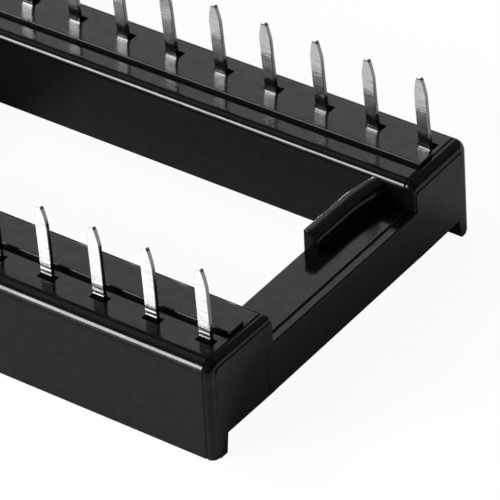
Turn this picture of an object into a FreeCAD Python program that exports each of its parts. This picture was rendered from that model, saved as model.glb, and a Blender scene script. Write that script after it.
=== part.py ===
import FreeCAD, Part

import math
import os

Vector = FreeCAD.Vector

# Wide dual-in-line socket, lying as it was photographed: the chip side faces down, the solder
# tails point up. Lengths are millimetres. The origin is at the middle of the socket, on the
# plane of the two lips' feet. X runs along the rails, Y from row to row, Z towards the tails.

# Contact grid
CONTACTS_PER_ROW = 20
PITCH = 2.54
ROW_SPACING = 15.24

# Rails: their faces are set out from the contact rows
END_MARGIN = 1.3
OUTER_MARGIN = 1.48
RAIL_WIDTH = 4.15
BODY_HEIGHT = 3.67
WALL_DRAFT = 0.06
OUTER_EDGE_RADIUS = 0.6
INNER_EDGE_RADIUS = 0.46
END_EDGE_RADIUS = 0.22

# Lips: the long outer walls reach past the chip face and taper towards their feet
LIP_DROP = 0.91
LIP_ROOT = 0.92
LIP_FOOT = 0.8

# Ridges that keep the moulding off the circuit board
RIDGE_HEIGHT = 0.2
RIDGE_WIDTH = 0.9
RIDGE_FROM_ROW = 0.58
RIDGE_OVERRUN = 0.72
RIDGE_EDGE_RADIUS = 0.05

# Crossbars between the rails
CROSSBAR_WIDTH = 2.4
CROSSBAR_DROP = 1.3
CROSSBAR_ROOT = 0.5
CROSSBAR_EDGE_RADIUS = 0.1
LEDGE_WIDTH = 0.45
LEDGE_DROP = 0.09

# Buttress rib on each end crossbar, from near the centre line to one rail
RIB_THICKNESS = 0.7
RIB_HEIGHT = 1.07
RIB_START = 0.45
RIB_STRAIGHT = 3.2
RIB_BEND_RADIUS = 10.0
RIB_BEND_ANGLE = 9.0
RIB_TOP_RADIUS = 0.5

# Contact chambers, open to the chip side, with a slot for the tail in their floor
CHAMBER_LENGTH = 1.5
CHAMBER_WIDTH = 1.3
CHAMBER_FLOOR = 0.45
MOUTH_FLARE = 0.2
MOUTH_DEPTH = 0.35
SLOT_LENGTH = 0.82
SLOT_WIDTH = 0.42
SLOT_SHIFT = 0.055

# Contacts, stamped and bent from one strip
STRIP_THICKNESS = 0.2
LEAF_BEND_RADIUS = 0.1
LEAF_WIDTH = 0.72
LEAF_SPREAD = 1.0
LEAF_GAP = 0.18
LEAF_FLARE = 0.3
PINCH_DEPTH = 0.85
TIP_DEPTH = 0.25
BAND_HEIGHT = 0.65
BAND_REACH = 0.5
JOG_HEIGHT = 0.55
TAIL_WIDTH = 0.56
TAIL_LENGTH = 3.25
TAIL_TAPER = 0.9
TAIL_POINT_WIDTH = 0.38
TAIL_POINT_HEIGHT = 0.3
TAIL_TIP_WIDTH = 0.18
BARB_HEIGHT = 0.3

# Clearances between a contact and the moulding
TAIL_CLEARANCE = 0.03
BARB_CLEARANCE = 0.02
JOG_CLEARANCE = 0.1

# Limits of the drawing: shorter lengths count as none, an arc takes this share of a side at most
LEAST_LENGTH = 1e-5
ARC_SHARE = 0.48

# Places that follow from the sizes above
ROW_Y = ROW_SPACING / 2
LAST_X = (CONTACTS_PER_ROW - 1) * PITCH / 2
END_X = LAST_X + END_MARGIN
OUTER_Y = ROW_Y + OUTER_MARGIN
INNER_Y = OUTER_Y - RAIL_WIDTH
CHIP_Z = LIP_DROP
BOARD_Z = CHIP_Z + BODY_HEIGHT
CROSSBAR_Z = BOARD_Z - CROSSBAR_DROP
FLOOR_Z = BOARD_Z - CHAMBER_FLOOR
TAIL_END_Z = BOARD_Z + TAIL_LENGTH
JOG_TOP_Z = FLOOR_Z - JOG_CLEARANCE - STRIP_THICKNESS / 2
JOG_FOOT_Z = JOG_TOP_Z - JOG_HEIGHT
BAND_TOP_Z = JOG_FOOT_Z - STRIP_THICKNESS / 2
BAND_FOOT_Z = BAND_TOP_Z - BAND_HEIGHT


def in_yz(u, v):
    return Vector(0, u, v)


def in_xz(u, v):
    return Vector(u, 0, v)


def in_xy(u, v):
    return Vector(u, v, 0)


def rounded_face(corners, plane):
    """Flat face through corners (u, v, radius), with an arc at each corner that has a radius."""
    points = [Vector(u, v, 0) for u, v, radius in corners]
    radii = [radius for u, v, radius in corners]
    stretches = []
    for i, corner in enumerate(points):
        back = points[i - 1] - corner
        ahead = points[(i + 1) % len(points)] - corner
        if radii[i] <= 0:
            stretches.append((corner, None, corner))
            continue
        half_angle = back.getAngle(ahead) / 2
        reach = min(radii[i] / math.tan(half_angle), ARC_SHARE * min(back.Length, ahead.Length))
        radius = reach * math.tan(half_angle)
        back.normalize()
        ahead.normalize()
        towards_centre = (back + ahead).normalize()
        middle = corner + towards_centre * (radius / math.sin(half_angle) - radius)
        stretches.append((corner + back * reach, middle, corner + ahead * reach))
    edges = []
    for i, (start, middle, end) in enumerate(stretches):
        onwards = stretches[(i + 1) % len(stretches)][0]
        if middle is not None:
            arc = Part.Arc(plane(start.x, start.y), plane(middle.x, middle.y), plane(end.x, end.y))
            edges.append(arc.toShape())
        if end.distanceToPoint(onwards) > LEAST_LENGTH:
            line = Part.LineSegment(plane(end.x, end.y), plane(onwards.x, onwards.y))
            edges.append(line.toShape())
    return Part.Face(Part.Wire(edges))


def strip_corners(path, thickness):
    """Corners of a strip of even thickness along a path of (u, v, bend radius of its centre line)."""
    half = thickness / 2
    normals = []
    for (u0, v0, bend0), (u1, v1, bend1) in zip(path, path[1:]):
        length = math.hypot(u1 - u0, v1 - v0)
        normals.append(((v0 - v1) / length, (u1 - u0) / length))
    left = []
    right = []
    for i, (u, v, bend) in enumerate(path):
        before = normals[max(i - 1, 0)]
        after = normals[min(i, len(normals) - 1)]
        share = 1 + before[0] * after[0] + before[1] * after[1]
        du = (before[0] + after[0]) / share * half
        dv = (before[1] + after[1]) / share * half
        inward = math.copysign(half, before[0] * after[1] - before[1] * after[0]) if bend else 0
        left.append((u + du, v + dv, bend - inward))
        right.append((u - du, v - dv, bend + inward))
    return left + right[::-1]


def centred_extrusion(face, direction):
    """Extrude a face by a vector, half to each side of its plane."""
    return face.translated(direction * -0.5).extrude(direction)


def turned(shape):
    """The same shape, turned half round about the socket's vertical axis."""
    return shape.rotated(Vector(0, 0, 0), Vector(0, 0, 1), 180)


def mirrored(shape):
    """The same shape on the other side of the socket's long centre plane."""
    return shape.mirror(Vector(0, 0, 0), Vector(0, 1, 0))


def make_rail():
    """The rail on the +Y side: a long profile with its lip, its end edges rounded off."""
    profile = [
        (INNER_Y, CHIP_Z, 0),
        (INNER_Y, BOARD_Z, INNER_EDGE_RADIUS),
        (OUTER_Y - WALL_DRAFT, BOARD_Z, OUTER_EDGE_RADIUS),
        (OUTER_Y, 0, 0),
        (OUTER_Y - LIP_FOOT, 0, 0),
        (OUTER_Y - LIP_ROOT, CHIP_Z, 0),
    ]
    rail = centred_extrusion(rounded_face(profile, in_yz), Vector(2 * END_X, 0, 0))
    end_edges = []
    for edge in rail.Edges:
        box = edge.BoundBox
        if box.XLength < LEAST_LENGTH and box.ZMax > CHIP_Z + LEAST_LENGTH:
            end_edges.append(edge)
    return rail.makeFillet(END_EDGE_RADIUS, end_edges)


def make_ridge():
    """The low ridge on the +Y rail's board face, inboard of its row of tails."""
    outer_y = ROW_Y - RIDGE_FROM_ROW
    profile = [
        (outer_y - RIDGE_WIDTH, CROSSBAR_Z, 0),
        (outer_y - RIDGE_WIDTH, BOARD_Z + RIDGE_HEIGHT, RIDGE_EDGE_RADIUS),
        (outer_y, BOARD_Z + RIDGE_HEIGHT, RIDGE_EDGE_RADIUS),
        (outer_y, CROSSBAR_Z, 0),
    ]
    length = 2 * (LAST_X + RIDGE_OVERRUN)
    return centred_extrusion(rounded_face(profile, in_yz), Vector(length, 0, 0))


def make_end_crossbar():
    """The crossbar at the +X end, with the lower ledge along its outer edge."""
    inner_x = END_X - CROSSBAR_WIDTH
    ledge_x = END_X - LEDGE_WIDTH
    profile = [
        (inner_x, CHIP_Z, 0),
        (END_X, CHIP_Z, 0),
        (END_X, CROSSBAR_Z - LEDGE_DROP, CROSSBAR_EDGE_RADIUS),
        (ledge_x, CROSSBAR_Z - LEDGE_DROP, 0),
        (ledge_x, CROSSBAR_Z, 0),
        (inner_x, CROSSBAR_Z, CROSSBAR_EDGE_RADIUS),
    ]
    length = 2 * (INNER_Y + CROSSBAR_ROOT)
    return centred_extrusion(rounded_face(profile, in_xz), Vector(0, length, 0))


def make_middle_crossbar():
    """The plain crossbar halfway along the rails."""
    half = CROSSBAR_WIDTH / 2
    profile = [
        (-half, CHIP_Z, 0),
        (half, CHIP_Z, 0),
        (half, CROSSBAR_Z, CROSSBAR_EDGE_RADIUS),
        (-half, CROSSBAR_Z, CROSSBAR_EDGE_RADIUS),
    ]
    length = 2 * (INNER_Y + CROSSBAR_ROOT)
    return centred_extrusion(rounded_face(profile, in_xz), Vector(0, length, 0))


def make_rib():
    """The rib on the +X crossbar: flush with its window edge, it bends as it nears the rail."""
    x = END_X - CROSSBAR_WIDTH + RIB_THICKNESS / 2
    bend_y = RIB_START + RIB_STRAIGHT
    end_y = INNER_Y + CROSSBAR_ROOT
    sideways = (end_y - bend_y) * math.tan(math.radians(RIB_BEND_ANGLE))
    path = [(x, RIB_START, 0), (x, bend_y, RIB_BEND_RADIUS), (x + sideways, end_y, 0)]
    plan = rounded_face(strip_corners(path, RIB_THICKNESS), in_xy)
    foot_z = (CHIP_Z + CROSSBAR_Z) / 2
    top_z = CROSSBAR_Z + RIB_HEIGHT
    rib = plan.translated(Vector(0, 0, foot_z)).extrude(Vector(0, 0, top_z - foot_z))
    outer_edges = []
    for edge in rib.Edges:
        box = edge.BoundBox
        if box.ZMin > CROSSBAR_Z and box.YLength > box.XLength and box.XMin > x:
            outer_edges.append(edge)
    return rib.makeFillet(min(RIB_TOP_RADIUS, 2 * ARC_SHARE * RIB_THICKNESS), outer_edges)


def rectangle(x0, x1, y0, y1, z):
    """Closed wire around a rectangle at height z."""
    corners = [Vector(x0, y0, z), Vector(x1, y0, z), Vector(x1, y1, z), Vector(x0, y1, z)]
    return Part.makePolygon(corners + corners[:1])


def make_cavity():
    """The hollow for one contact of the +Y row: a flared mouth, the chamber and the tail slot."""
    half_x = CHAMBER_LENGTH / 2
    near_y = ROW_Y - CHAMBER_WIDTH / 2
    far_y = ROW_Y + CHAMBER_WIDTH / 2
    throat_z = CHIP_Z + MOUTH_DEPTH
    wide = rectangle(-half_x - MOUTH_FLARE, half_x + MOUTH_FLARE, near_y - MOUTH_FLARE, far_y, CHIP_Z)
    narrow = rectangle(-half_x, half_x, near_y, far_y, throat_z)
    mouth = Part.makeLoft([wide, narrow], True, True)
    throat = Vector(-half_x, near_y, throat_z)
    chamber = Part.makeBox(CHAMBER_LENGTH, CHAMBER_WIDTH, FLOOR_Z - throat_z, throat)
    slot_y = ROW_Y - STRIP_THICKNESS / 2 - TAIL_CLEARANCE
    slot_corner = Vector(SLOT_SHIFT - SLOT_LENGTH / 2, slot_y, FLOOR_Z)
    slot = Part.makeBox(SLOT_LENGTH, SLOT_WIDTH, 2 * CHAMBER_FLOOR, slot_corner)
    return mouth.fuse([chamber, slot]).removeSplitter()


def contact_places():
    """Row letter, number and X of every contact, counted from the -X end."""
    places = []
    for row in "ab":
        for number in range(CONTACTS_PER_ROW):
            places.append((row, number + 1, number * PITCH - LAST_X))
    return places


def make_housing():
    """The whole moulding: rails, ridges, crossbars and ribs in one piece, with its cavities."""
    rail = make_rail()
    end_crossbar = make_end_crossbar()
    ridge = make_ridge()
    rib = make_rib()
    pieces = [mirrored(rail), end_crossbar, turned(end_crossbar), make_middle_crossbar()]
    pieces += [ridge, mirrored(ridge), rib, turned(rib)]
    housing = rail.fuse(pieces).removeSplitter()
    cavity = {"b": make_cavity()}
    cavity["a"] = mirrored(cavity["b"])
    hollows = [cavity[row].translated(Vector(x, 0, 0)) for row, number, x in contact_places()]
    return housing.cut(hollows).removeSplitter()


def make_leaf(path):
    """A strip along a path in the YZ plane, as wide as a leaf."""
    face = rounded_face(strip_corners(path, STRIP_THICKNESS), in_yz)
    return centred_extrusion(face, Vector(LEAF_WIDTH, 0, 0))


def make_tail():
    """The tail: it leaves the outer plate, jogs to the row's centre line and ends in a point."""
    path = [
        (LEAF_SPREAD / 2, BAND_FOOT_Z, 0),
        (LEAF_SPREAD / 2, JOG_FOOT_Z, 0),
        (0, JOG_TOP_Z, 0),
        (0, TAIL_END_Z, 0),
    ]
    strip = rounded_face(strip_corners(path, STRIP_THICKNESS), in_yz)
    half = TAIL_WIDTH / 2
    one_side = [
        (half, BAND_FOOT_Z, 0),
        (half, TAIL_END_Z - TAIL_TAPER, 0),
        (TAIL_POINT_WIDTH / 2, TAIL_END_Z - TAIL_POINT_HEIGHT, 0),
        (TAIL_TIP_WIDTH / 2, TAIL_END_Z, 0),
    ]
    outline = one_side + [(-x, z, bend) for x, z, bend in one_side[::-1]]
    blank = centred_extrusion(rounded_face(outline, in_xz), Vector(0, 2 * CHAMBER_WIDTH, 0))
    return centred_extrusion(strip, Vector(TAIL_WIDTH, 0, 0)).common(blank)


def make_band():
    """The strip round one side of the chamber: it joins the two leaves and carries the barb."""
    outer_y = (LEAF_SPREAD + STRIP_THICKNESS) / 2
    inner_y = outer_y - STRIP_THICKNESS
    side_x = -BAND_REACH - STRIP_THICKNESS / 2
    barb_x = CHAMBER_LENGTH / 2 - BARB_CLEARANCE
    plan = [
        (LEAF_WIDTH / 2, outer_y, 0),
        (side_x, outer_y, 0),
        (side_x, -outer_y, 0),
        (LEAF_WIDTH / 2, -outer_y, 0),
        (LEAF_WIDTH / 2, -inner_y, 0),
        (side_x + STRIP_THICKNESS, -inner_y, 0),
        (side_x + STRIP_THICKNESS, inner_y, 0),
        (LEAF_WIDTH / 2, inner_y, 0),
    ]
    band = rounded_face(plan, in_xy).extrude(Vector(0, 0, BAND_HEIGHT))
    barb_outline = [(LEAF_WIDTH / 2, 0, 0), (barb_x, 0, 0), (LEAF_WIDTH / 2, BARB_HEIGHT, 0)]
    barb = centred_extrusion(rounded_face(barb_outline, in_xz), Vector(0, STRIP_THICKNESS, 0))
    barb.translate(Vector(0, LEAF_SPREAD / 2, 0))
    return band.fuse(barb).translated(Vector(0, 0, BAND_FOOT_Z))


def make_contact():
    """A contact of the +Y row at x = 0: a band that holds in the chamber, two leaves, the tail."""
    pinch_y = (LEAF_GAP + STRIP_THICKNESS) / 2
    leaf_path = [
        (pinch_y + LEAF_FLARE, CHIP_Z + TIP_DEPTH, 0),
        (pinch_y, CHIP_Z + PINCH_DEPTH, LEAF_BEND_RADIUS),
        (LEAF_SPREAD / 2, BAND_FOOT_Z, 0),
        (LEAF_SPREAD / 2, BAND_TOP_Z, 0),
    ]
    outer_leaf = make_leaf(leaf_path)
    inner_leaf = make_leaf([(-y, z, bend) for y, z, bend in leaf_path])
    contact = make_band().fuse([outer_leaf, inner_leaf, make_tail()]).removeSplitter()
    return contact.translated(Vector(0, ROW_Y, 0))


def main():
    os.makedirs("parts", exist_ok=True)
    make_housing().exportStep("parts/housing.step")
    contact = {"b": make_contact()}
    contact["a"] = turned(contact["b"])
    for row, number, x in contact_places():
        name = "contact_%s%02d" % (row, number)
        contact[row].translated(Vector(x, 0, 0)).exportStep("parts/%s.step" % name)


main()
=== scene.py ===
import math

import bmesh
import bpy
from mathutils import Matrix, Vector


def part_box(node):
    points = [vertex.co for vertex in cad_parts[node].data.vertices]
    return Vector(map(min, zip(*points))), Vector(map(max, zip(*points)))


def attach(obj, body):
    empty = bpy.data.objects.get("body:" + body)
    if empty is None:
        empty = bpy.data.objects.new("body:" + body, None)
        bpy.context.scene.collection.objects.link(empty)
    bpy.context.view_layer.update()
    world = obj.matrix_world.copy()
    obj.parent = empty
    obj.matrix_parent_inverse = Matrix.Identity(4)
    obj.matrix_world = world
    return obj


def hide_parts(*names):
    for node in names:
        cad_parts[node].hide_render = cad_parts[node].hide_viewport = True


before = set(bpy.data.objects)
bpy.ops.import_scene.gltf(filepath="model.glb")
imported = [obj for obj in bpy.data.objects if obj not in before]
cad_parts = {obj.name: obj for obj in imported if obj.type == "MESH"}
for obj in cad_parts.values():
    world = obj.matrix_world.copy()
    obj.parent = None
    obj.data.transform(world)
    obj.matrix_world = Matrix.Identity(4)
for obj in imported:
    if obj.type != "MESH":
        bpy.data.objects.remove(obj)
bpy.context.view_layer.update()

# The housing is one moulding of glossy black polyester: two rails, three crossbars, two ribs and
# the ridges that lie on the circuit board. It is drawn in millimetres, rail by rail, and every
# long edge has the radius that the mould gives it, because the gloss shows each of them.
MM = 0.001
ARC_STEPS = 10
SMALL_ARC_STEPS = 4
SMALL_RADIUS = 0.1
LEAST_EDGE = 0.11
INNER_END_SHARE = 0.3
PITCH = 2.54
CONTACTS_PER_ROW = 20
ROW_Y = 7.62
LAST_X = (CONTACTS_PER_ROW - 1) * PITCH / 2
END_X = (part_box("housing")[1] / MM).x
OUTER_Y = ROW_Y + 1.48
INNER_Y = OUTER_Y - 4.15
CHIP_Z = 0.91
BOARD_Z = CHIP_Z + 3.67
OUTER_EDGE = 0.62
INNER_EDGE = 0.42
END_EDGES = {-1: 0.3, 1: 0.42}
WALL_DRAFT = 0.06
END_DRAFT = 0.06
END_SKEW = 0.06
WITNESS_LINE = 0.055
SOFT_EDGE = 0.035
LIP_ROOT = 0.92
LIP_FOOT = 0.8


def rounded(corners):
    """Closed outline through corners (u, v, radius), with an arc wherever there is a radius."""
    outline = []
    for i, (u, v, radius) in enumerate(corners):
        corner = Vector((u, v))
        if radius <= 0:
            outline.append(corner)
            continue
        back = (Vector(corners[i - 1][:2]) - corner).normalized()
        ahead = (Vector(corners[(i + 1) % len(corners)][:2]) - corner).normalized()
        half_angle = back.angle(ahead) / 2
        centre = corner + (back + ahead).normalized() * (radius / math.sin(half_angle))
        start = corner + back * (radius / math.tan(half_angle)) - centre
        turn = math.copysign(math.pi - 2 * half_angle, ahead.x * back.y - ahead.y * back.x)
        steps = ARC_STEPS if radius > SMALL_RADIUS else SMALL_ARC_STEPS
        for step in range(steps + 1):
            outline.append(centre + Matrix.Rotation(turn * step / steps, 2) @ start)
    return outline


def loft(name, loops):
    """Closed mesh through loops of points, with a flat face over the first and the last."""
    mesh = bmesh.new()
    rings = [[mesh.verts.new(point) for point in loop] for loop in loops]
    for ring, onwards in zip(rings, rings[1:]):
        for i in range(len(ring)):
            j = (i + 1) % len(ring)
            mesh.faces.new((ring[i], ring[j], onwards[j], onwards[i]))
    mesh.faces.new(rings[0][::-1])
    mesh.faces.new(rings[-1])
    bmesh.ops.recalc_face_normals(mesh, faces=mesh.faces)
    data = bpy.data.meshes.new(name)
    mesh.to_mesh(data)
    mesh.free()
    piece = bpy.data.objects.new(name, data)
    bpy.context.scene.collection.objects.link(piece)
    return piece


def bar_along_x(name, outline_at, end_x, end_radius, groove=0):
    """A bar from -end_x to end_x; outline_at gives its outline in YZ, drawn in by a depth.

    With a groove, a fine line runs round the bar on either side of the rounding at its ends."""
    places = []
    for step in range(ARC_STEPS + 1):
        turn = math.pi / 2 * step / ARC_STEPS
        places.append((groove + end_radius * (1 - math.cos(turn)), end_radius * (1 - math.sin(turn))))
    if groove:
        places.insert(0, (0, end_radius + groove))
        places += [(end_radius + 2 * groove, groove), (end_radius + 3 * groove, 0)]
    loops = [[Vector((x - end_x, p.x, p.y)) for p in outline_at(depth)] for x, depth in places]
    return loft(name, loops + [[Vector((-p.x, p.y, p.z)) for p in loop] for loop in reversed(loops)])


def bar_along_y(name, outline, half_length):
    """A bar with that outline in XZ, half of it to each side of the middle."""
    return loft(name, [[Vector((p.x, y, p.y)) for p in outline] for y in (-half_length, half_length)])


def combine(target, others, operation):
    """Add the other closed meshes to the target, or cut them out of it."""
    for other in others:
        modifier = target.modifiers.new("join", "BOOLEAN")
        modifier.operation = operation
        modifier.solver = "EXACT"
        modifier.object = other
        settled = target.evaluated_get(bpy.context.evaluated_depsgraph_get())
        old = target.data
        target.data = bpy.data.meshes.new_from_object(settled)
        target.modifiers.clear()
        bpy.data.meshes.remove(old)
        bpy.data.objects.remove(other)
    return target


def gathered(name, pieces):
    """Several meshes that stand clear of each other, as one object."""
    mesh = bmesh.new()
    for piece in pieces:
        mesh.from_mesh(piece.data)
        bpy.data.objects.remove(piece)
    data = bpy.data.meshes.new(name)
    mesh.to_mesh(data)
    mesh.free()
    whole = bpy.data.objects.new(name, data)
    bpy.context.scene.collection.objects.link(whole)
    return whole


def drafted(piece):
    """Its end faces lean inwards to the board side, so that the moulding leaves its mould."""
    for vertex in piece.data.vertices:
        outwards = max(0.0, abs(vertex.co.y) - INNER_Y) / (OUTER_Y - INNER_Y)
        shift = END_DRAFT * vertex.co.z / BOARD_Z + END_SKEW * outwards
        vertex.co.x -= math.copysign(shift, vertex.co.x)
    return piece


def rail(side):
    """One rail, side +1 or -1 in Y, with the lip that hangs from its outer wall."""
    def outline_at(depth):
        inner = INNER_Y + depth * INNER_END_SHARE
        outer = OUTER_Y - depth
        return rounded([
            (side * inner, CHIP_Z, SOFT_EDGE),
            (side * inner, BOARD_Z - depth, max(INNER_EDGE - depth, LEAST_EDGE)),
            (side * (outer - WALL_DRAFT), BOARD_Z - depth, max(OUTER_EDGE - depth, LEAST_EDGE)),
            (side * outer, 0, SOFT_EDGE),
            (side * (OUTER_Y - LIP_FOOT), 0, SOFT_EDGE),
            (side * (OUTER_Y - LIP_ROOT), CHIP_Z, SOFT_EDGE),
        ])
    return drafted(bar_along_x("rail", outline_at, END_X, END_EDGES[side], WITNESS_LINE))


RIDGE_TOP = BOARD_Z + 0.2
RIDGE_OUTER_Y = ROW_Y - 0.58
RIDGE_WIDTH = 0.9
RIDGE_END_X = LAST_X + 0.72
RIDGE_EDGE = 0.05
CROSSBAR_Z = BOARD_Z - 1.3


def ridge(side):
    """The low ridge on one rail's board face."""
    def outline_at(depth):
        outer = RIDGE_OUTER_Y - depth
        inner = RIDGE_OUTER_Y - RIDGE_WIDTH + depth
        return rounded([
            (side * outer, CROSSBAR_Z, 0),
            (side * outer, RIDGE_TOP - depth, RIDGE_EDGE),
            (side * inner, RIDGE_TOP - depth, RIDGE_EDGE),
            (side * inner, CROSSBAR_Z, 0),
        ])
    return bar_along_x("ridge", outline_at, RIDGE_END_X, SOFT_EDGE)


CROSSBAR_WIDTH = 2.4
CROSSBAR_EDGE = 0.09
CROSSBAR_ROOT = 0.5
LEDGE_WIDTH = 0.45
LEDGE_DROP = 0.09
STEP_IN = 0.004


def end_crossbar(end):
    """The crossbar at one end, end +1 or -1 in X, with the lower ledge on its outer edge."""
    corners = [
        (end * (END_X - CROSSBAR_WIDTH), CHIP_Z + STEP_IN, SOFT_EDGE),
        (end * (END_X - STEP_IN), CHIP_Z + STEP_IN, SOFT_EDGE),
        (end * (END_X - STEP_IN - END_DRAFT * CROSSBAR_Z / BOARD_Z), CROSSBAR_Z - LEDGE_DROP, CROSSBAR_EDGE),
        (end * (END_X - LEDGE_WIDTH), CROSSBAR_Z - LEDGE_DROP, SOFT_EDGE),
        (end * (END_X - LEDGE_WIDTH), CROSSBAR_Z, SOFT_EDGE),
        (end * (END_X - CROSSBAR_WIDTH), CROSSBAR_Z, SOFT_EDGE),
    ]
    return bar_along_y("end_crossbar", rounded(corners), INNER_Y + CROSSBAR_ROOT)


def middle_crossbar():
    """The plain crossbar halfway along the rails."""
    half = CROSSBAR_WIDTH / 2
    corners = [
        (-half, CHIP_Z + STEP_IN, SOFT_EDGE),
        (half, CHIP_Z + STEP_IN, SOFT_EDGE),
        (half, CROSSBAR_Z, CROSSBAR_EDGE),
        (-half, CROSSBAR_Z, CROSSBAR_EDGE),
    ]
    return bar_along_y("middle_crossbar", rounded(corners), INNER_Y + CROSSBAR_ROOT)


RIB_THICKNESS = 0.7
RIB_HEIGHT = 1.07
RIB_START = 0.45
RIB_BEND_START = 2.9
RIB_BEND_ANGLE = math.radians(9)
RIB_BEND_POWER = 1.7
RIB_TOP_RADIUS = 0.5
RIB_WINDOW_RADIUS = 0.08
RIB_END_RADIUS = 0.05
RIB_STATIONS = 24
RIB_ROOT = 0.2


def rib(end):
    """The buttress rib on one end crossbar: its run bends outwards before it meets the rail."""
    def section(depth):
        half = RIB_THICKNESS / 2 - depth
        top = CROSSBAR_Z + RIB_HEIGHT - depth
        foot = CROSSBAR_Z - RIB_ROOT
        return rounded([
            (-half, foot, 0), (half, foot, 0),
            (half, top, RIB_TOP_RADIUS - depth), (-half, top, RIB_WINDOW_RADIUS - depth),
        ])
    middle_x = END_X - CROSSBAR_WIDTH + RIB_THICKNESS / 2 + STEP_IN
    finish_y = INNER_Y + CROSSBAR_ROOT
    bend_length = finish_y - RIB_BEND_START
    places = []
    for step in range(ARC_STEPS // 2 + 1):
        turn = math.pi / ARC_STEPS * step
        places.append((RIB_END_RADIUS * (1 - math.cos(turn)), RIB_END_RADIUS * (1 - math.sin(turn))))
    for station in range(1, RIB_STATIONS + 1):
        places.append((RIB_END_RADIUS + (finish_y - RIB_START - RIB_END_RADIUS) * station / RIB_STATIONS, 0))
    loops = []
    for along, depth in places:
        y = RIB_START + along
        past_bend = max(0.0, y - RIB_BEND_START) / bend_length
        x = middle_x + bend_length * math.tan(RIB_BEND_ANGLE) * past_bend ** RIB_BEND_POWER
        loops.append([Vector((end * (x + p.x), end * y, p.y)) for p in section(depth)])
    return loft("rib", loops)


CHAMBER_LENGTH = 1.5
CHAMBER_WIDTH = 1.3
FLOOR_Z = BOARD_Z - 0.45
MOUTH_FLARE = 0.2
MOUTH_DEPTH = 0.35
SLOT_LENGTH = 0.82
SLOT_SHIFT = 0.055
SLOT_FRONT = 0.13
SLOT_BACK = 0.29
THROUGH = 0.5
CREASE = math.radians(24)
FLAT_WEIGHT = 80


def rectangle(x0, x1, y0, y1, z):
    return [Vector((x0, y0, z)), Vector((x1, y0, z)), Vector((x1, y1, z)), Vector((x0, y1, z))]


def chamber(x, side):
    """The hollow that holds one contact, with its flared mouth on the chip side."""
    half = CHAMBER_LENGTH / 2
    outer = ROW_Y + CHAMBER_WIDTH / 2
    inner = ROW_Y - CHAMBER_WIDTH / 2
    loops = []
    for z, flare in (
        (CHIP_Z - MOUTH_DEPTH, 2 * MOUTH_FLARE),
        (CHIP_Z + MOUTH_DEPTH, 0),
        (FLOOR_Z, 0),
    ):
        ys = sorted((side * (inner - flare), side * outer))
        loops.append(rectangle(x - half - flare, x + half + flare, ys[0], ys[1], z))
    return loft("chamber", loops)


def tail_slot(x, side):
    """The slot in the chamber's floor that the contact's tail comes out of."""
    ys = sorted((side * (ROW_Y - SLOT_FRONT), side * (ROW_Y + SLOT_BACK)))
    x0 = x + SLOT_SHIFT - SLOT_LENGTH / 2
    x1 = x0 + SLOT_LENGTH
    return loft("slot", [rectangle(x0, x1, ys[0], ys[1], z) for z in (FLOOR_Z - THROUGH, BOARD_Z + THROUGH)])


contact_xs = [number * PITCH - LAST_X for number in range(CONTACTS_PER_ROW)]
housing = combine(rail(1), [end_crossbar(1), end_crossbar(-1), middle_crossbar()], "UNION")
housing = combine(housing, [rail(-1), ridge(1), ridge(-1), rib(1), rib(-1)], "UNION")
chambers = gathered("chambers", [chamber(x, side) for x in contact_xs for side in (1, -1)])
slots = gathered("slots", [tail_slot(x, side) for x in contact_xs for side in (1, -1)])
housing = combine(housing, [chambers, slots], "DIFFERENCE")
housing.name = "moulded_housing"


def finished(piece):
    """In metres, with smooth shading that stops at sharp edges and keeps flat faces flat."""
    piece.data.transform(Matrix.Scale(MM, 4))
    piece.data.shade_smooth()
    mesh = bmesh.new()
    mesh.from_mesh(piece.data)
    for edge in mesh.edges:
        if len(edge.link_faces) == 2 and edge.calc_face_angle(0) > CREASE:
            edge.smooth = False
    mesh.to_mesh(piece.data)
    mesh.free()
    weigh = piece.modifiers.new("flat_faces", "WEIGHTED_NORMAL")
    weigh.keep_sharp = True
    weigh.weight = FLAT_WEIGHT


finished(housing)


def surface_material(name):
    """A new node material; returns it with its node tree and its shader."""
    material = bpy.data.materials.new(name)
    material.use_nodes = True
    shader = material.node_tree.nodes["Principled BSDF"]
    return material, material.node_tree, shader


def noise(tree, scale, detail, stretch=(1, 1, 1)):
    """Noise over the object's own coordinates, in waves per millimetre."""
    place = tree.nodes.new("ShaderNodeTexCoord")
    fit = tree.nodes.new("ShaderNodeMapping")
    fit.inputs["Scale"].default_value = [s / MM for s in stretch]
    texture = tree.nodes.new("ShaderNodeTexNoise")
    texture.inputs["Scale"].default_value = scale
    texture.inputs["Detail"].default_value = detail
    tree.links.new(place.outputs["Object"], fit.inputs["Vector"])
    tree.links.new(fit.outputs["Vector"], texture.inputs["Vector"])
    return texture.outputs["Fac"]


def mapped(tree, value, old_range, new_range):
    """A value carried from one range to another."""
    node = tree.nodes.new("ShaderNodeMapRange")
    node.inputs["From Min"].default_value, node.inputs["From Max"].default_value = old_range
    node.inputs["To Min"].default_value, node.inputs["To Max"].default_value = new_range
    tree.links.new(value, node.inputs["Value"])
    return node.outputs["Result"]


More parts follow.
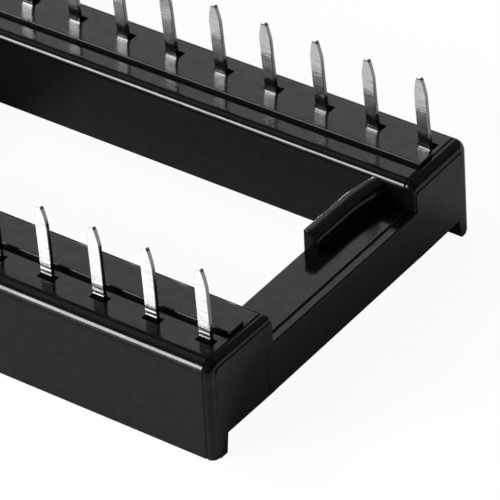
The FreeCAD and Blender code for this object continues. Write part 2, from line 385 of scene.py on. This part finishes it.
NOISE_RANGE = (0.3, 0.7)
POLYESTER_IOR = 1.24
POLYESTER_BLACK = (0.0016, 0.0016, 0.0017, 1)
POLYESTER_PALER = (0.003, 0.003, 0.0031, 1)
POLYESTER_SHEEN = (0.42, 0.56)
POLYESTER_ROUGHNESS = (0.11, 0.14)
MOULD_TEXTURE = 0.002
plastic, tree, shader = surface_material("black_polyester")
shader.inputs["IOR"].default_value = POLYESTER_IOR
tint = tree.nodes.new("ShaderNodeMix")
tint.data_type = "RGBA"
tint.inputs["A"].default_value = POLYESTER_BLACK
tint.inputs["B"].default_value = POLYESTER_PALER
tree.links.new(noise(tree, 1.3, 6), tint.inputs["Factor"])
tree.links.new(tint.outputs["Result"], shader.inputs["Base Color"])
sheen = mapped(tree, noise(tree, 2.2, 8), NOISE_RANGE, POLYESTER_SHEEN)
tree.links.new(sheen, shader.inputs["Specular IOR Level"])
gloss = mapped(tree, noise(tree, 3.0, 5), NOISE_RANGE, POLYESTER_ROUGHNESS)
tree.links.new(gloss, shader.inputs["Roughness"])
skin = tree.nodes.new("ShaderNodeBump")
skin.inputs["Strength"].default_value = 0.25
skin.inputs["Distance"].default_value = MOULD_TEXTURE * MM
tree.links.new(noise(tree, 5.0, 4), skin.inputs["Height"])
tree.links.new(skin.outputs["Normal"], shader.inputs["Normal"])
housing.data.materials.clear()
housing.data.materials.append(plastic)
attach(housing, "root")
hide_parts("housing")

# Each contact is stamped from one strip of spring bronze and plated with tin. The faces across X, its
# sheared
# edges, are coloured dark: partly their duller metal, partly painted shade for the shadowed floor they
# mirror.
# A band grips the chamber, two leaves wait for the chip's leg, and the tail jogs to the middle
# of the slot, bows in a little and ends in a coined point. All forty come off the same tool.
STRIP = 0.2
STRIP_EDGE = 0.02
LEAF_SPREAD = 1.0
TAIL_HALF = 0.28
LEAF_HALF = 0.36
LEAF_TIP_HALF = 0.24
contact_low, contact_high = [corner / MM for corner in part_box("contact_b01")]
TAIL_END_Z = contact_high.z
LEAF_END_Z = contact_low.z
TAIL_TAPER = 0.85
TAIL_TAPER_POWER = 1.35
TAIL_TIP_HALF = 0.11
TAIL_TIP_ROUND = 0.12
TAIL_TIP_STEPS = 5
TIP_LEAST_WIDTH = 0.35
TIP_LEAST_THICKNESS = 0.8
TAIL_RIPPLE = 0.003
RIPPLE_STEPS = 9
RIPPLE_STEP = 0.055
RIPPLE_START_Z = BOARD_Z + 0.02
TAIL_LEANS = {-1: -0.18, 1: -0.21}
TAIL_BOWS = {-1: 0.13, 1: 0.085}
TAIL_BOW_BACK = 0.6
JOG_TOP_Z = FLOOR_Z - 0.2
JOG_FOOT_Z = JOG_TOP_Z - 0.55
BAND_TOP_Z = JOG_FOOT_Z - STRIP / 2
BAND_FOOT_Z = BAND_TOP_Z - 0.65
PINCH_Z = CHIP_Z + 0.85
PINCH_Y = 0.19
LEAF_FLARE = 0.3
BEND = 0.16
JOG_BEND = 0.22
BAND_SIDE_X = -0.6
BARB_HEIGHT = 0.3
SPACING = 0.1


def centre_line(points, spacing):
    """Points along a path of (y, z, bend radius), with an arc wherever there is a radius."""
    line = [Vector(points[0][:2])]
    for before, (y, z, radius), after in zip(points, points[1:], points[2:]):
        corner = Vector((y, z))
        if radius <= 0:
            line.append(corner)
            continue
        back = (Vector(before[:2]) - corner).normalized()
        ahead = (Vector(after[:2]) - corner).normalized()
        half_angle = back.angle(ahead) / 2
        centre = corner + (back + ahead).normalized() * (radius / math.sin(half_angle))
        start = corner + back * (radius / math.tan(half_angle)) - centre
        turn = math.copysign(math.pi - 2 * half_angle, ahead.x * back.y - ahead.y * back.x)
        for step in range(ARC_STEPS + 1):
            line.append(centre + Matrix.Rotation(turn * step / ARC_STEPS, 2) @ start)
    line.append(Vector(points[-1][:2]))
    full = [line[0]]
    for point in line[1:]:
        start = full[-1]
        pieces = max(1, round((point - start).length / spacing))
        full += [start.lerp(point, (k + 1) / pieces) for k in range(pieces)]
    return full


def strip(name, points, half_sizes, spacing):
    """Sheet along a path in YZ; half_sizes gives its half width and half thickness at a point."""
    line = centre_line(points, spacing)
    loops = []
    for i, point in enumerate(line):
        back = line[i] - line[max(i - 1, 0)]
        ahead = line[min(i + 1, len(line) - 1)] - line[i]
        along = (back.normalized() + ahead.normalized()).normalized()
        normal = Vector((-along.y, along.x))
        wide, half = half_sizes(point)
        edge = min(STRIP_EDGE, wide / 4, half / 4)
        loop = []
        for x, out in (
            (-wide, half - edge), (-wide + edge, half), (wide - edge, half), (wide, half - edge),
            (wide, -half + edge), (wide - edge, -half), (-wide + edge, -half), (-wide, -half + edge),
        ):
            place = point + normal * out
            loop.append(Vector((x, place.x, place.y)))
        loops.append(loop)
    return loft(name, loops)


def contact_half_sizes(point):
    """Half width and thickness: leaf tip, leaf, band, shoulder, tail and coined point."""
    half = STRIP / 2
    over = (point.y - (TAIL_END_Z - TAIL_TAPER)) / TAIL_TAPER
    if over > 0:
        wide = TAIL_TIP_HALF + (TAIL_HALF - TAIL_TIP_HALF) * (1 - over ** TAIL_TAPER_POWER)
        last = max(0.0, 1 - (TAIL_END_Z - point.y) / TAIL_TIP_ROUND)
        dome = math.sqrt(max(0.0, 1 - last ** 2))
        narrowed = TIP_LEAST_WIDTH + (1 - TIP_LEAST_WIDTH) * dome
        thinned = TIP_LEAST_THICKNESS + (1 - TIP_LEAST_THICKNESS) * dome
        return wide * narrowed, half * thinned
    if point.y > BAND_TOP_Z:
        shoulder = min(1.0, (point.y - BAND_TOP_Z) / STRIP)
        return LEAF_HALF + (TAIL_HALF - LEAF_HALF) * shoulder, half
    down = (BAND_FOOT_Z - point.y) / (BAND_FOOT_Z - LEAF_END_Z)
    return LEAF_HALF + (LEAF_TIP_HALF - LEAF_HALF) * min(max(down, 0.0), 1.0), half


def leaf_path(side):
    """The path of one spring leaf from its tip to the band, side +1 or -1 in Y from the row's line."""
    return [
        (side * (PINCH_Y + LEAF_FLARE - STRIP / 2), LEAF_END_Z + STRIP / 4, 0),
        (side * PINCH_Y, PINCH_Z, BEND),
        (side * LEAF_SPREAD / 2, BAND_FOOT_Z, 2 * BEND),
    ]


def inner_leaf():
    """The leaf on the socket's inner side, up to the top of the band."""
    path = leaf_path(-1) + [(-LEAF_SPREAD / 2, BAND_TOP_Z, 0)]
    return strip("leaf", path, contact_half_sizes, SPACING)


def outer_leaf_and_tail():
    """The leaf on the outer side, which runs on through the jog into the tail."""
    path = leaf_path(1) + [
        (LEAF_SPREAD / 2, JOG_FOOT_Z, JOG_BEND),
        (0, JOG_TOP_Z, JOG_BEND),
    ]
    for step in range(RIPPLE_STEPS):
        wave = (step % 2) * (-1) ** (step // 2)
        path.append((TAIL_RIPPLE * wave, RIPPLE_START_Z + RIPPLE_STEP * step, 0))
    path.append((0, TAIL_END_Z - TAIL_TAPER, 0))
    for step in range(TAIL_TIP_STEPS, 0, -1):
        path.append((0, TAIL_END_Z - TAIL_TIP_ROUND * (step / TAIL_TIP_STEPS) ** 2, 0))
    path.append((0, TAIL_END_Z, 0))
    return strip("tail", path, contact_half_sizes, SPACING)


def band():
    """The band round one side of the chamber, with its barb on the outer plate."""
    outer = (LEAF_SPREAD + STRIP) / 2 - STEP_IN
    inner = outer - STRIP + 2 * STEP_IN
    end_x = LEAF_HALF - STRIP_EDGE - STEP_IN
    plan = rounded([
        (end_x, outer, 0),
        (BAND_SIDE_X, outer, STRIP),
        (BAND_SIDE_X, -outer, STRIP),
        (end_x, -outer, 0),
        (end_x, -inner, 0),
        (BAND_SIDE_X + STRIP, -inner, STRIP_EDGE),
        (BAND_SIDE_X + STRIP, inner, STRIP_EDGE),
        (end_x, inner, 0),
    ])
    whole = loft("band", [[Vector((p.x, p.y, z)) for p in plan] for z in (BAND_FOOT_Z, BAND_TOP_Z)])
    barb_x = contact_high.x + LAST_X
    root_x = end_x - STRIP
    barb_plan = [(root_x, 0), (barb_x, 0), (LEAF_HALF, BARB_HEIGHT), (root_x, BARB_HEIGHT)]
    sides = (inner + STEP_IN, outer - STEP_IN)
    barb = loft("barb", [[Vector((x, y, BAND_FOOT_Z + z + STEP_IN)) for x, z in barb_plan] for y in sides])
    return combine(whole, [barb], "UNION")


stamped = combine(band(), [inner_leaf(), outer_leaf_and_tail()], "UNION")
finished(stamped)

TIN_LINE = (0.7, 0.7, 0.695, 1)
TIN_BRIGHT = (0.99, 0.99, 0.985, 1)
TIN_ROUGHNESS = (0.12, 0.16)
# Dark colour of the sheared edges: partly their duller metal, partly painted shade for the shadowed floor
# they mirror.
SHEARED_METAL_AND_PAINTED_SHADE = (0.2, 0.2, 0.195, 1)
ROLLING_LINES = (0.8, 0.8, 18)
LINE_SHARE = (0.36, 0.54)
LINE_DEPTH = 0.004
EDGE_FACING = (0.5, 0.65)
tin, tree, shader = surface_material("bright_tin_plate")
shader.inputs["Metallic"].default_value = 1.0
plate = tree.nodes.new("ShaderNodeMix")
plate.data_type = "RGBA"
plate.inputs["A"].default_value = TIN_LINE
plate.inputs["B"].default_value = TIN_BRIGHT
rolled = noise(tree, 1.0, 5, ROLLING_LINES)
tree.links.new(mapped(tree, rolled, LINE_SHARE, (0, 1)), plate.inputs["Factor"])
# Mask of the faces across X, the sheared edges, which take the dark colour with its painted shade.
facing = tree.nodes.new("ShaderNodeTexCoord")
split = tree.nodes.new("ShaderNodeSeparateXYZ")
tree.links.new(facing.outputs["Normal"], split.inputs["Vector"])
across = tree.nodes.new("ShaderNodeMath")
across.operation = "ABSOLUTE"
tree.links.new(split.outputs["X"], across.inputs[0])
sheared_edge_shade_mask = mapped(tree, across.outputs["Value"], EDGE_FACING, (0, 1))
metal = tree.nodes.new("ShaderNodeMix")
metal.data_type = "RGBA"
metal.inputs["B"].default_value = SHEARED_METAL_AND_PAINTED_SHADE
tree.links.new(sheared_edge_shade_mask, metal.inputs["Factor"])
tree.links.new(plate.outputs["Result"], metal.inputs["A"])
tree.links.new(metal.outputs["Result"], shader.inputs["Base Color"])
tree.links.new(mapped(tree, rolled, NOISE_RANGE, TIN_ROUGHNESS), shader.inputs["Roughness"])
lines = tree.nodes.new("ShaderNodeBump")
lines.inputs["Strength"].default_value = 0.9
lines.inputs["Distance"].default_value = LINE_DEPTH * MM
tree.links.new(rolled, lines.inputs["Height"])
tree.links.new(lines.outputs["Normal"], shader.inputs["Normal"])
stamped.data.materials.clear()
stamped.data.materials.append(tin)

for row, side in (("a", -1), ("b", 1)):
    for number, x in enumerate(contact_xs, 1):
        contact = stamped.copy()
        contact.data = stamped.data.copy()
        contact.name = "stamped_contact_%s%02d" % (row, number)
        turn = Matrix.Rotation(0 if side > 0 else math.pi, 4, "Z")
        contact.data.transform(Matrix.Translation(Vector((x, side * ROW_Y, 0)) * MM) @ turn)
        for vertex in contact.data.vertices:
            above = max(0.0, (vertex.co.z / MM - BOARD_Z) / (TAIL_END_Z - BOARD_Z))
            vertex.co.x += above * TAIL_LEANS[side] * MM
            vertex.co.y -= above * (1 - TAIL_BOW_BACK * above) * side * TAIL_BOWS[side] * MM
        bpy.context.scene.collection.objects.link(contact)
        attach(contact, "root")
        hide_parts("contact_%s%02d" % (row, number))
bpy.data.objects.remove(stamped)

# The socket lies tails up on a pale paper floor. A low soft lamp at its left and in front is the
# main light, with five dimmer panels round it, and the room is dim otherwise.
FLOOR_REACH = 3.0
PAPER_WHITE = 0.86
ROOM_GREY = 0.1


def sheet(name, corners):
    """A flat sheet of the set."""
    data = bpy.data.meshes.new(name)
    data.from_pydata([Vector(c) for c in corners], [], [tuple(range(len(corners)))])
    piece = bpy.data.objects.new(name, data)
    bpy.context.scene.collection.objects.link(piece)
    return piece


def added(tree, first, second, factor):
    """first + second * factor, or second * factor where there is no first."""
    node = tree.nodes.new("ShaderNodeMath")
    node.operation = "MULTIPLY_ADD"
    tree.links.new(second, node.inputs[0])
    node.inputs[1].default_value = factor
    if first is None:
        node.inputs[2].default_value = 0
    else:
        tree.links.new(first, node.inputs[2])
    return node.outputs["Value"]


floor = sheet("floor", [(-FLOOR_REACH, -FLOOR_REACH, 0), (FLOOR_REACH, -FLOOR_REACH, 0),
                        (FLOOR_REACH, FLOOR_REACH, 0), (-FLOOR_REACH, FLOOR_REACH, 0)])
paper = bpy.data.materials.new("white_paper")
paper.use_nodes = True
tree = paper.node_tree
tree.nodes.remove(tree.nodes["Principled BSDF"])
matt = tree.nodes.new("ShaderNodeBsdfDiffuse")
matt.inputs["Color"].default_value = (PAPER_WHITE, PAPER_WHITE, PAPER_WHITE, 1)
glow = tree.nodes.new("ShaderNodeEmission")
glow.inputs["Strength"].default_value = 1.0
path = tree.nodes.new("ShaderNodeLightPath")
blend = tree.nodes.new("ShaderNodeMixShader")
share = None
for ray, factor in (("Is Camera Ray", 0.95), ("Is Glossy Ray", 0.06), ("Is Transmission Ray", 0.1)):
    share = added(tree, share, path.outputs[ray], factor)
tree.links.new(share, blend.inputs["Fac"])
tree.links.new(matt.outputs["BSDF"], blend.inputs[1])
tree.links.new(glow.outputs["Emission"], blend.inputs[2])
tree.links.new(blend.outputs["Shader"], tree.nodes["Material Output"].inputs["Surface"])
floor.data.materials.append(paper)


def towards(azimuth, elevation):
    """The direction so many degrees round to the left of the front and above the floor."""
    a = math.radians(azimuth)
    e = math.radians(elevation)
    return Vector((-math.sin(a) * math.cos(e), -math.cos(a) * math.cos(e), math.sin(e)))


def lamp(name, direction, distance, width, height, radiance):
    """A soft box that faces the socket from a direction, of a given brightness."""
    data = bpy.data.lights.new(name, "AREA")
    data.shape = "RECTANGLE"
    data.size = width
    data.size_y = height
    data.energy = radiance * math.pi * width * height
    piece = bpy.data.objects.new(name, data)
    piece.location = direction * distance
    piece.rotation_euler = direction.to_track_quat("Z", "Y").to_euler()
    piece.visible_camera = False
    bpy.context.scene.collection.objects.link(piece)
    return piece


lamp("key_softbox", towards(37, 21.3), distance=0.7, width=0.3, height=0.208, radiance=48.0)
lamp("left_panel", towards(86, 42), distance=0.8, width=0.3, height=0.28, radiance=14.0)
lamp("high_left", towards(72, 58), distance=0.8, width=0.4, height=0.4, radiance=0.8)
lamp("back_right", towards(205, 38), distance=0.8, width=0.9, height=0.7, radiance=0.27)
lamp("low_panel", towards(36, 7), distance=0.8, width=0.6, height=0.2, radiance=4.0)
lamp("back_screen", towards(144, 33), distance=0.8, width=0.6, height=0.42, radiance=1.95)

world = bpy.data.worlds.new("dim_room")
world.use_nodes = True
tree = world.node_tree
room = tree.nodes["Background"]
room.inputs["Color"].default_value = (ROOM_GREY, ROOM_GREY, ROOM_GREY, 1)
bpy.context.scene.world = world

# The camera stands where the photograph was taken from: above the socket's front, to the right, about
# 0.18 m away and behind a long lens. Its three directions are those of the fitted view.
SENSOR = 36
PICTURE_PIXELS = 500
FOCAL_PIXELS = 4224.1
SHIFT_PIXELS = 0.5
CAMERA_PLACE = Vector((102.508, -108.961, 102.684))
camera_data = bpy.data.cameras.new("camera")
camera_data.sensor_width = SENSOR
camera_data.lens = FOCAL_PIXELS / PICTURE_PIXELS * SENSOR
camera_data.clip_start = 0.01
camera_data.shift_x = -SHIFT_PIXELS / PICTURE_PIXELS
camera_data.shift_y = SHIFT_PIXELS / PICTURE_PIXELS
camera = bpy.data.objects.new("camera", camera_data)
bpy.context.scene.collection.objects.link(camera)
RIGHT = Vector((0.81634, 0.576198, -0.039809))
DOWN = Vector((0.315292, -0.502323, -0.805148))
FORWARD = Vector((-0.483921, 0.644723, -0.591737))
turn = Matrix((RIGHT, -DOWN, -FORWARD)).transposed().to_4x4()
camera.matrix_world = Matrix.Translation(CAMERA_PLACE * MM) @ turn
bpy.context.scene.camera = camera
bpy.context.scene.view_settings.view_transform = "Standard"
